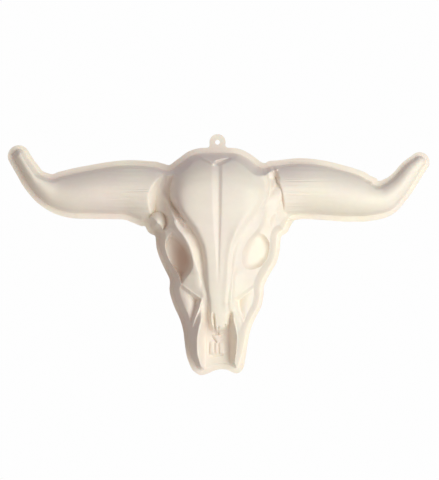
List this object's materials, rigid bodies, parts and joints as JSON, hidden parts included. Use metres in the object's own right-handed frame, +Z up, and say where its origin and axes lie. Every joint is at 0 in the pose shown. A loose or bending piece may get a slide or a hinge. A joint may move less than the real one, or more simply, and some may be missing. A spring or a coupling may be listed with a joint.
{
  "type": "wall-hung longhorn skull relief",
  "caption": "Thin formed plastic half-relief of a long-horned cattle skull, open at the back, with a flat trimmed flange and a hanging tab.",
  "frame": {"origin": "centre of the hanging hole, on the wall plane at the back of the flange", "axes": "+X to the right as seen from the front, +Y into the wall, +Z up; the front faces -Y"},
  "size_m": [0.5271, 0.0782, 0.3011],
  "materials": {
    "cream_plastic": "matt bone-cream sheet, vacuum formed, with fine moulded grooves on the horns"
  },
  "bodies": {
    "root": {"skull": "cream_plastic", "horn_left": "cream_plastic", "horn_right": "cream_plastic", "hanging_tab": "cream_plastic"}
  },
  "joints": []
}
